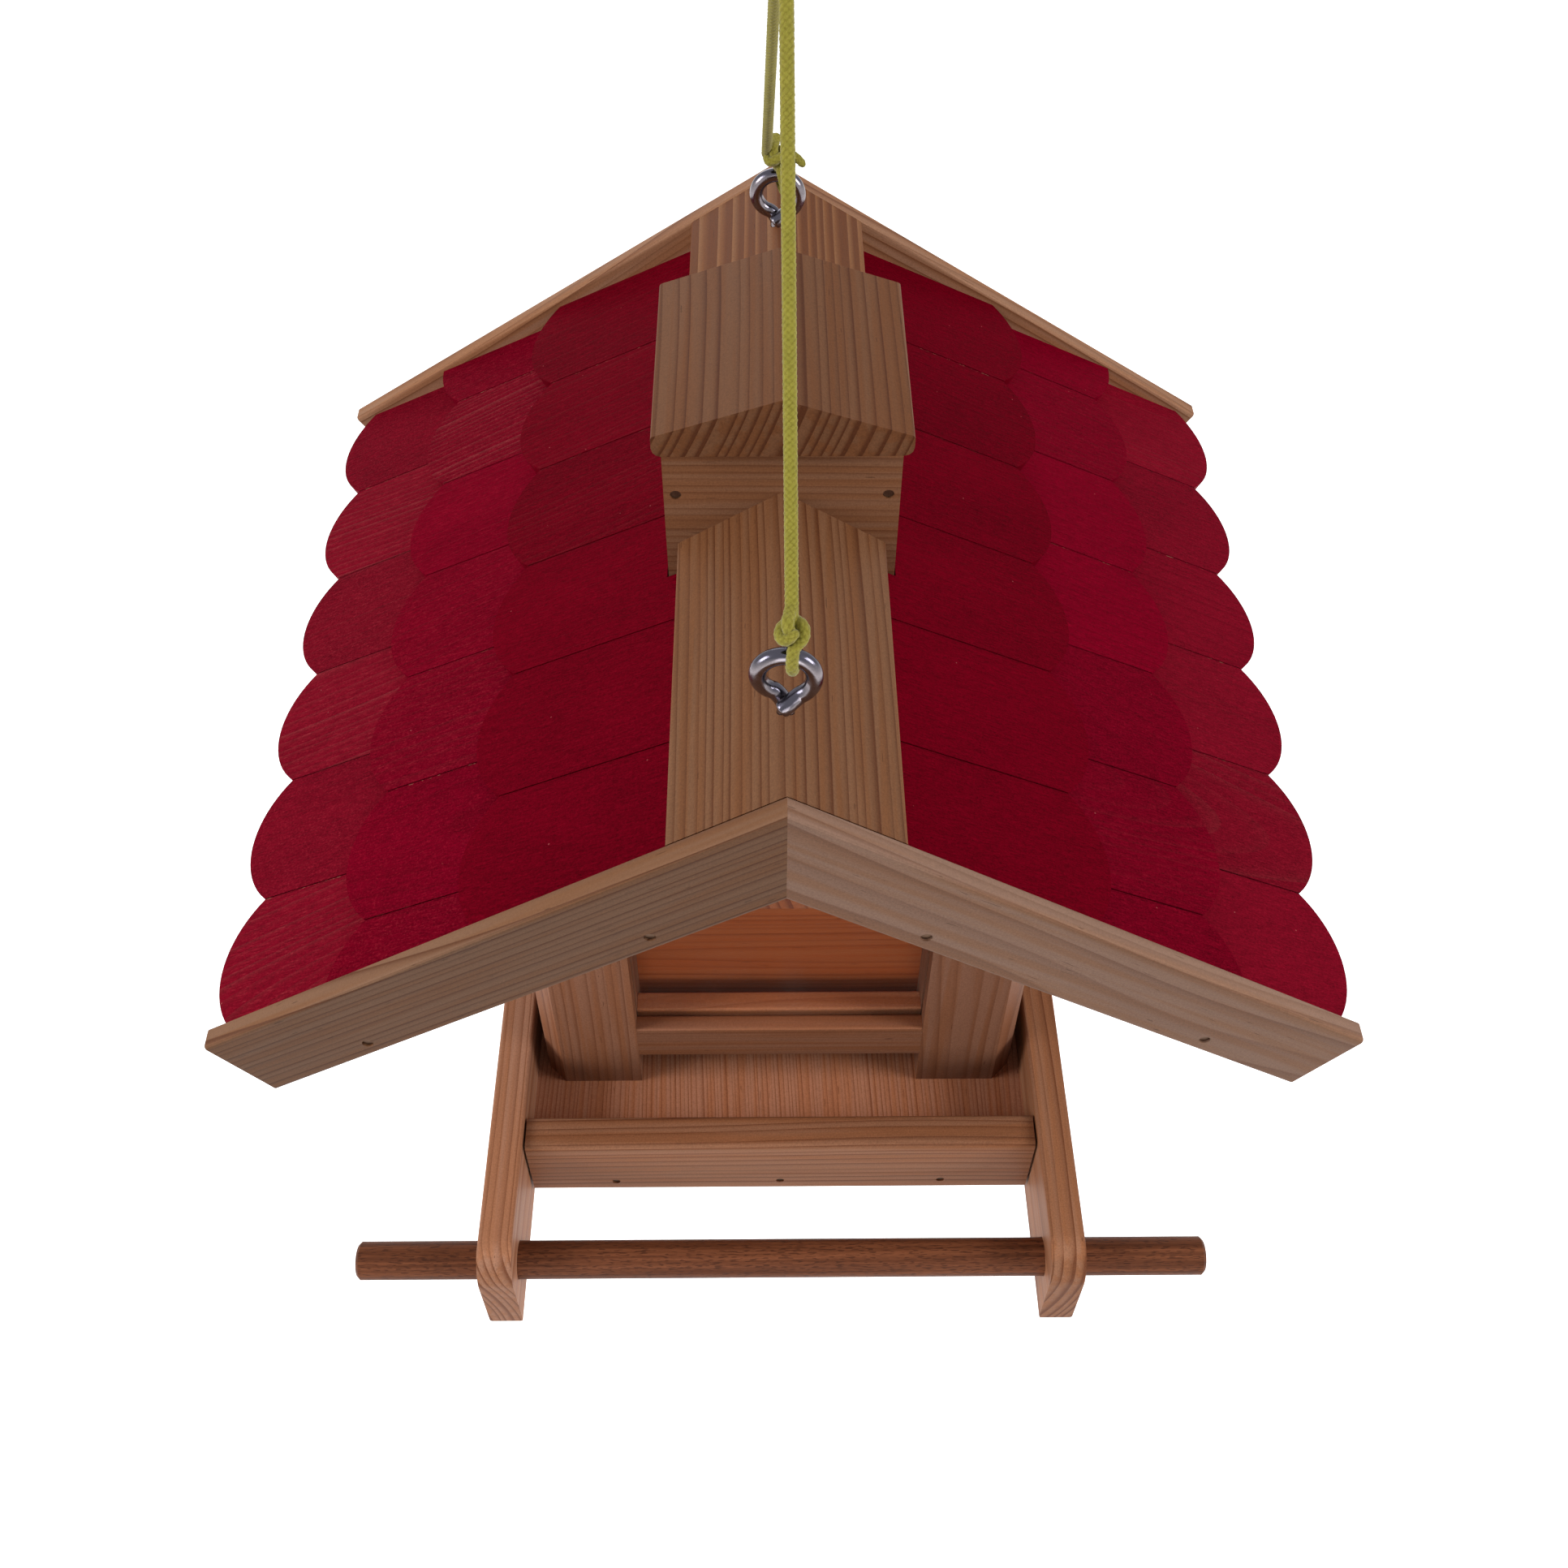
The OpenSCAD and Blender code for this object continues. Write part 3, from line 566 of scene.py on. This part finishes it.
def dress(node, material):
    """Puts a finish in every material slot of a CAD node."""
    slots = nodes[node].material_slots
    for slot in slots:
        slot.material = material
    if not slots:
        nodes[node].data.materials.append(material)


print("the softwood is ready")

# %% [markdown]
# ## Every board its own piece of timber
#
# The maker cut these boards from different planks, so no two look alike. Each gets its own core
# place, ring spacing and tint. The angle says from which side the core lay: rings that stand
# upright in an end face leave close straight lines on top, and rings that lie flat there leave
# broad flames, as on the right-hand gable board. The wood inside is given a warm orange, which
# is painted light: the warm light that bounces between the boards under the roof. The edges that
# a hand touches are sanded, so the boards without nail holes get a small bevel.

# %% Choose the boards
def tint(red, green, blue):
    """A colour written as it looks on a screen, from 0 to 255, as the shader wants it."""
    return tuple(c / 255 / 12.92 if c <= 10 else ((c / 255 + 0.055) / 1.055) ** 2.4
                 for c in (red, green, blue))


boards = {
    # node: along, lean, reach, spacing, colour of the pale wood, and what else differs
    "lid": ("Y", -21, 95, 2.3, (109, 72, 48), {"contrast": 1.7, "wander": 8, "thin": 4.5}),
    "lid_plug": ("Y", 40, 60, 2.2, (112, 77, 53), {}),
    "chimney_front": ("X", 80, 90, 1.9, (121, 84, 61), {"wander": 7}),
    "chimney_back": ("X", 75, 70, 2.1, (121, 84, 61), {"wander": 9}),
    "chimney_left": ("Y", 78, 80, 2.0, (121, 84, 61), {"wander": 9}),
    "chimney_right": ("Y", 82, 75, 1.8, (121, 84, 61), {"wander": 8}),
    "ridge_cap_back": ("Y", -14, 70, 3.0, (133, 90, 58), {"contrast": 2.6, "wander": 9, "thin": 1.1}),
    "ridge_cap_front": ("Y", 12, 85, 1.9, (117, 80, 55), {"contrast": 1.5, "wander": 8, "thin": 3.2}),
    # the top-light numbers below paint light on the upward faces of the front gable boards and the front
    # crossbar, and paint shade on the front rim's top
    "bargeboard_front_left": ("slope", 70, 90, 1.6, (95, 68, 50),
                              {"side": -1, "contrast": 1.7, "thin": 4.5, "crown": 0.75}),
    "bargeboard_front_right": ("slope", 30, 46, 2.9, (118, 91, 76),
                               {"wander": 24, "contrast": 0.8, "thin": 2.4, "crown": 0.35}),
    "bargeboard_back_left": ("slope", 65, 70, 1.9, (150, 110, 84), {"side": -1, "contrast": 1.3}),
    "bargeboard_back_right": ("slope", 72, 80, 1.7, (150, 110, 84), {"contrast": 1.3}),
    "side_block_left": ("Z", 8, 85, 2.6, (128, 87, 66), {"wander": 8, "contrast": 1.2, "thin": 4.5}),
    "side_block_right": ("Z", 40, 30, 2.9, (119, 81, 62), {"wander": 20, "contrast": 0.75}),
    "side_rail_left": ("Y", 15, 80, 2.0, (158, 114, 90), {"wander": 9, "contrast": 1.4, "thin": 4.0}),
    "side_rail_right": ("Y", -12, 75, 2.2, (146, 102, 76), {"wander": 9, "contrast": 1.4, "thin": 4.0}),
    "rim_front": ("X", 38, 90, 1.7, (140, 96, 70), {"wander": 7, "contrast": 1.5, "crown": -0.18}),
    "rim_back": ("X", 42, 80, 2.0, (141, 94, 66), {"wander": 9}),
    "floor_board": ("Y", 6, 130, 1.25, (160, 108, 82), {"wander": 12, "contrast": 1.25}),
    "crossbar_front": ("X", 84, 60, 1.5, (116, 77, 57), {"contrast": 0.6, "crown": 0.45}),
    "crossbar_back": ("X", 80, 66, 1.6, (126, 84, 62), {"contrast": 0.6}),
    # the inner bars, chute boards, ridge beams and roof boards below get a warm orange: painted light,
    # bounced between the boards under the roof
    "inner_bar_front": ("X", 70, 50, 2.2, (167, 105, 71), {"contrast": 0.5}),
    "inner_bar_back": ("X", 74, 55, 2.2, (158, 98, 66), {"contrast": 0.5}),
    "chute_board_front": ("X", 80, 60, 2.4, (155, 81, 42), {"contrast": 0.9}),
    "chute_board_back": ("X", 82, 70, 2.6, (155, 81, 42), {"contrast": 0.9}),
    "ridge_beam_front": ("Y", 20, 60, 2.2, (150, 86, 52), {}),
    "ridge_beam_back": ("Y", 24, 60, 2.2, (150, 86, 52), {}),
    "roof_board_left": ("Y", 30, 60, 2.8, (150, 86, 52), {}),
    "roof_board_right": ("Y", 150, 60, 2.8, (150, 86, 52), {}),
    "eave_strip_left": ("Y", 60, 60, 1.8, (134, 92, 66), {}),
    "eave_strip_right": ("Y", 120, 60, 1.8, (134, 92, 66), {}),
}
print(len(boards), "boards chosen")

# %% Finish the boards
for k, (node, (along, lean, reach, spacing, colour, more)) in enumerate(boards.items()):
    dress(node, softwood("softwood_" + node, node, along, lean, reach, spacing, tint(*colour),
                         seed=7.3 * k + 1, **more))
sanded = ("lid", "side_block_left", "side_block_right", "crossbar_front", "crossbar_back",
          "inner_bar_front", "inner_bar_back")
for node in sanded:
    nodes[node].modifiers.new("merge", "WELD").merge_threshold = 0.00001
    soften = nodes[node].modifiers.new("soften", "BEVEL")
    soften.width, soften.segments, soften.limit_method, soften.angle_limit = 0.0003, 2, "ANGLE", 0.7
print(len(boards), "boards finished,", len(sanded), "sanded")

# %% [markdown]
# ## Red stain
#
# The shingles are thin softwood under a crimson stain. Stain soaks in, so the grain still shows:
# dark autumn wood takes less of it, and raised fibres are rubbed pale. Every shingle was cut from
# somewhere else, so the formula first works out which shingle a place belongs to, from the
# spacing of the joints and the gable's distance from the middle, and shifts the grain and the
# tint by three numbers drawn for it. Along the joints the saw tore fibres that stayed bare,
# which shows as short pale lines.

# %% Which shingle a place belongs to
JOINT, GABLE = 33.2, 98.2


def shingle(place, start, seed):
    """How near a place is to its shingle's edge, and three numbers drawn for that shingle."""
    y = place.make("ShaderNodeSeparateXYZ", {}, {0: place}, 1)
    count = (y + (GABLE - start * JOINT)) / JOINT
    luck = [(count.math("FLOOR") * 1.7 + seed).chance(31 * k) for k in range(3)]
    return (count.math("FRACT") - 0.5).math("ABSOLUTE"), luck


print("joints every", JOINT, "mm")

# %% The stain
def red_stain(name, node, side, start, deep, dark, wear_and_sheen, seed):
    """One course's stain, from its first joint, its two reds and how strongly its grain is rubbed pale,
    which also paints sheen.
    """
    material, shader, place = new_finish(name)
    beside, luck = shingle(place, start, seed)
    shifts = luck[2] * 90, luck[0] * 60, luck[1] * 12
    parts = [part + shift for part, shift in zip(board_place(place, node, "slope", side), shifts)]
    ring, strength = year_rings(parts, 12, 40, 2.1, 26.0, seed)
    late = ring ** 3 * (1 - ring.ramp(0.93, 1.0)) * (strength * 0.7 + 0.3)
    fibre = grain_noise(stretched(parts, 0.14, 2.4, seed), 1.0, 3.0, 0.6)
    fine = grain_noise(stretched(parts, 1.1, 5.0, seed + 4), 1.0, 2.0, 0.7)
    pores = grain_noise(place, 2.1, 2.0, 0.8)
    cloud = grain_noise(stretched(parts, 0.03, 0.06, seed + 8), 1.0, 2.0)
    colour = (late * 0.8 * (luck[1] * 0.7 + 0.3)).mix(deep, dark)
    rubbed = (late * luck[2].ramp(0.5, 0.95) * 0.5 + pores.ramp(0.5, 0.8) * (1 - luck[0]) * 0.22
              + (fine * 0.5 + fibre * 0.5).ramp(0.52, 0.75) * luck[2] * 0.3)
    # the pale rubbing, whose strength also carries a painted sheen on the left slope
    colour = (rubbed * wear_and_sheen).mix(colour, tint(146, 70, 70))
    # right beside each joint the tone is lowered a little: painted shade in the joint
    tone = (0.91 + luck[0] * 0.2 + (fibre - 0.5) * 1.1 + (cloud - 0.5) * 0.4 + (fine - 0.5) * 1.1
            + (pores - 0.5) * 1.1 - beside.ramp(0.482, 0.494) * 0.12)
    torn = grain_noise(stretched(parts, 0.45, 1.6, seed + 12), 1.0, 2.0, 0.7).ramp(0.56, 0.66)
    torn = torn * beside.ramp(0.489, 0.496) * luck[1].ramp(0.35, 0.95)
    colour = (torn * 0.7).mix(colour.shaded(tone), tint(150, 96, 80))
    speck = place.make("ShaderNodeTexVoronoi", {"feature": "F1"}, {"Vector": place, "Scale": 0.16})
    colour = (speck.ramp(0.035, 0.02) * 0.7).mix(colour, tint(160, 80, 80))
    height = late * (0.4 + wear_and_sheen) + fibre * 0.6 + fine * 0.4 + pores * 0.4 - torn * 0.5
    feed(shader, Base_Color=colour, Roughness=0.58 + (fibre - 0.5) * 0.15, Specular_IOR_Level=0.01,
         Normal=bumped(height, 0.7, 0.0001))
    return material


print("the stain is ready")

# %% Stain the shingles
courses = {
    # course: where its first joint lies, deep red, dark red, how worn, a strength that also paints sheen
    # the reds darken from the eave to the top course: painted shade, for the side light that weakens
    # towards the ridge
    "eave": (0.93, (110, 7, 27), (90, 0, 18), 0.7),
    "middle": (0.4, (108, 0, 24), (88, 0, 16), 0.6),
    "top": (0.93, (98, 0, 18), (80, 0, 12), 0.12),
}
for side, hand in ((-1, "left"), (1, "right")):
    for k, (course, (start, deep, dark, wear_and_sheen)) in enumerate(courses.items()):
        node = "shingles_%s_%s" % (hand, course)
        # the left slope gets 1.5 times the pale rubbing and the right 0.4 times: partly real wear, and
        # partly a painted sheen where the left lamp grazes the shingles
        dress(node, red_stain("stain_" + node, node, side, start, tint(*deep), tint(*dark),
                              wear_and_sheen * (0.95 - 0.55 * side), 11.0 * k + 3.7 * side + 5))
print("six courses stained")

# %% [markdown]
# ## Beech, zinc, steel, clear sheet and braid
#
# The perches are turned from beech, which is redder than the softwood, and is known by its many
# short dark flecks. The wire is zinc-plated: a metal with fine draw marks, lighter below and
# darkened where it looks up, a painted dark reflection of the room above. The nail heads are steel
# in their holes, tinted dark brown, partly rust and partly painted shade of the holes, and they are
# darkened a little where they look up, the same painted reflection. The two panes are clear
# acrylic with a few wipe marks. The braid takes its colour from the height that was stored on its
# points: the tops of the bundles are a lighter green, the grooves get painted shade, and loose
# fuzz lightens it in places.

# %% Finish the perches
def beech(name, seed):
    """Brown wood with long streaks and short dark flecks."""
    material, shader, place = new_finish(name)
    parts = [place.make("ShaderNodeSeparateXYZ", {}, {0: place}, i) for i in range(3)]
    streak = grain_noise(stretched(parts, 0.012, 0.8, seed), 1.0, 3.0, 0.6)
    fine = grain_noise(stretched(parts, 0.25, 4.0, seed + 2), 1.0, 3.0, 0.7)
    fleck = grain_noise(stretched(parts, 0.5, 3.2, seed + 6), 1.0, 0.0).ramp(0.57, 0.68)
    colour = streak.ramp(0.3, 0.7).mix(tint(83, 46, 28), tint(114, 67, 43))
    colour = (fleck * 0.6).mix(colour, tint(52, 28, 19)).shaded(1 + (fine - 0.5) * 0.9)
    feed(shader, Base_Color=colour, Roughness=0.48 + (fine - 0.5) * 0.2, Specular_IOR_Level=0.08,
         Normal=bumped(fine * 0.6 - fleck, 0.4, 0.00008))
    return material


dress("perch_front", beech("beech_front", 2.0))
dress("perch_back", beech("beech_back", 23.0))
print("perches finished")

# %% Finish the wire and the nails
def metal(name, fresh, painted_dark_reflection, rough, scale):
    """A metal darkened where it looks up, a painted dark reflection, with a smeared and marked surface."""
    material, shader, place = new_finish(name)
    smear = grain_noise(place, scale, 3.0, 0.6)
    marks = grain_noise(place, scale * 9, 2.0, 0.6)
    normal = place.make("ShaderNodeTexCoord", {}, {}, 1)
    up = normal.make("ShaderNodeSeparateXYZ", {}, {0: normal}, 2).ramp(0.2, 0.65)
    shade = (smear * 0.6 + marks * 0.4).ramp(0.3, 0.7)
    below = shade.mix(tuple(c * 0.72 for c in fresh), fresh)
    # faces that look up take the darker colour: a painted dark reflection of the room above
    feed(shader, Base_Color=up.mix(below, painted_dark_reflection), Metallic=1.0,
         Roughness=rough + (smear - 0.5) * 0.22, Normal=bumped(marks, 0.25, 0.00004))
    return material


zinc = metal("zinc_plate", tint(146, 138, 142), tint(78, 76, 86), 0.2, 0.35)
for eye in eyes:
    eye.data.materials.append(zinc)
# the nails' dark brown is partly rust and partly painted shade of their holes
steel = metal("nail_steel", tint(104, 80, 64), tint(96, 74, 60), 0.45, 0.9)
for node in ("rim_nails", "gable_nails", "chimney_nails", "rail_nails", "floor_nails"):
    dress(node, steel)
print("metal finished")

# %% Finish the panes and the braid
def clear_sheet(name):
    """Almost invisible, but for its gleam and a few marks of a cloth."""
    material, shader, place = new_finish(name)
    wipe = grain_noise(place.vector("MULTIPLY", (0.05, 1, 0.02)), 1.0, 3.0, 0.6)
    feed(shader, Base_Color=tint(150, 155, 152), Roughness=0.05 + wipe.ramp(0.5, 0.8) * 0.12,
         Alpha=0.012 + wipe.ramp(0.5, 0.8) * 0.02, Specular_IOR_Level=0.05)
    return material


pane_finish = clear_sheet("clear_sheet")
dress("pane_front", pane_finish)
dress("pane_back", pane_finish)


def braid(name):
    """Yarn with painted shade in its grooves and pale fuzz."""
    material, shader, place = new_finish(name)
    height = place.make("ShaderNodeAttribute", {"attribute_name": "groove"}, {}, 2)
    fuzz = grain_noise(place, 2.4, 3.0, 0.8)
    soft = grain_noise(place, 0.45, 2.0)
    # the grooves take the darker green: painted shade between the bundles
    colour = height.ramp(0.0, 0.85).mix(tint(112, 102, 27), tint(134, 127, 44))
    colour = (fuzz.ramp(0.45, 0.75) * 0.45).mix(colour, tint(148, 135, 66))
    colour = colour.shaded(1 + (fuzz - 0.5) * 0.6 + (soft - 0.5) * 0.3)
    feed(shader, Base_Color=colour, Roughness=0.85, Specular_IOR_Level=0.15, Sheen_Weight=0.25,
         Sheen_Roughness=0.5, Normal=bumped(fuzz, 0.5, 0.00012))
    return material


braid_finish = braid("lime_braid")
for piece in [cord] + knots:
    piece.data.materials.append(braid_finish)
print("braid finished")

# %% [markdown]
# ## The studio
#
# The photograph has a plain white ground, and light so soft that nothing throws a hard shadow.
# Large lamps close by give that: a strong one at each side, one low in front that reaches under
# the roof, and weak ones above and behind. The white ground isn't light: only the camera's own
# rays, and those that metal and clear sheet send on, see it. The feeder hangs well above a pale
# floor, which is white to the camera too, but for the feeder's own faint shadow.

# %% Light the scene
MIDDLE = Vector((0, -0.02, -0.26))


def lamp(name, place, size, power):
    """A square soft lamp that looks at the middle of the feeder."""
    data = bpy.data.lights.new(name, "AREA")
    data.shape, data.size, data.energy = "SQUARE", size, power
    light = bpy.data.objects.new(name, data)
    light.location = place
    light.rotation_euler = (MIDDLE - light.location).to_track_quat("-Z", "Y").to_euler()
    bpy.context.scene.collection.objects.link(light)
    return light


lamps = [lamp("lamp_left", (-1.05, -0.3, 0.28), 0.5, 12.0),
         lamp("lamp_right", (1.05, -0.3, 0.28), 0.5, 11.0),
         lamp("lamp_front", (0.0, -1.2, -0.16), 0.7, 4.6),
         lamp("lamp_over", (0.1, -0.4, 1.0), 0.8, 0.6),
         lamp("lamp_back", (-0.2, 1.2, 0.05), 0.7, 3.0)]

world = bpy.data.worlds.new("studio")
bpy.context.scene.world = world
world.use_nodes = True
sky = world.node_tree.nodes["Background"]
white = looked_at(world.node_tree).mix((0.36, 0.36, 0.36), (1, 1, 1))
world.node_tree.links.new(white.socket, sky.inputs["Color"])
print(len(lamps), "lamps")

# %% Lay the floor
FLOOR = -0.72
floor_mesh = bpy.data.meshes.new("studio_floor")
corners = [(-4, -4, FLOOR), (4, -4, FLOOR), (4, 4, FLOOR), (-4, 4, FLOOR)]
floor_mesh.from_pydata(corners, [], [(0, 1, 2, 3)])
floor = bpy.data.objects.new("studio_floor", floor_mesh)
bpy.context.scene.collection.objects.link(floor)
paper, paper_shader, paper_place = new_finish("floor_paper")
mottle = grain_noise(paper_place, 0.02, 2.0)
feed(paper_shader, Base_Color=mottle.mix(tint(226, 226, 226), tint(232, 232, 232)), Roughness=0.9,
     Specular_IOR_Level=0.1, Emission_Strength=1.0,
     Emission_Color=looked_at(paper.node_tree).mix((0, 0, 0), (0.75, 0.75, 0.75)))
floor.data.materials.append(paper)
bpy.context.scene.view_settings.view_transform = "Standard"
print("floor laid")

# %% [markdown]
# ## Finish
#
# The last call brings every piece's place up to date.

# %% Finish
bpy.context.view_layer.update()
